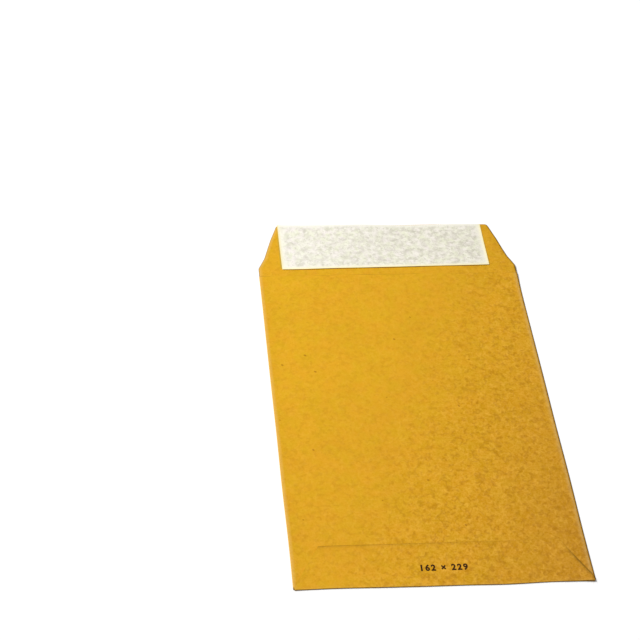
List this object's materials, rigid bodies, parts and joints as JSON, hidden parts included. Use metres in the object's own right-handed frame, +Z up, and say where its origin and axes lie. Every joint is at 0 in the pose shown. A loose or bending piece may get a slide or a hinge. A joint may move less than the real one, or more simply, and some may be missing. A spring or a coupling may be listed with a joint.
{
  "type": "mailing envelope",
  "caption": "Flat pocket mailing envelope of manila kraft paper, lying closing side up with its flap open and a peel-off strip over the flap's adhesive.",
  "frame": {"origin": "centre of the ground under the open envelope, at the underside of its address panel", "axes": "+Z up from the address side to the closing side, +Y from the bottom fold to the closing flap, +X to the right of someone who faces the flap from the bottom fold"},
  "size_m": [0.162, 0.2658, 0.0011],
  "materials": {
    "manila_kraft": "matte",
    "adhesive": "satin",
    "release_paper": "satin"
  },
  "bodies": {
    "root": {"folded_blank": "manila_kraft", "adhesive_strip": "adhesive", "release_liner": "release_paper"}
  },
  "joints": []
}
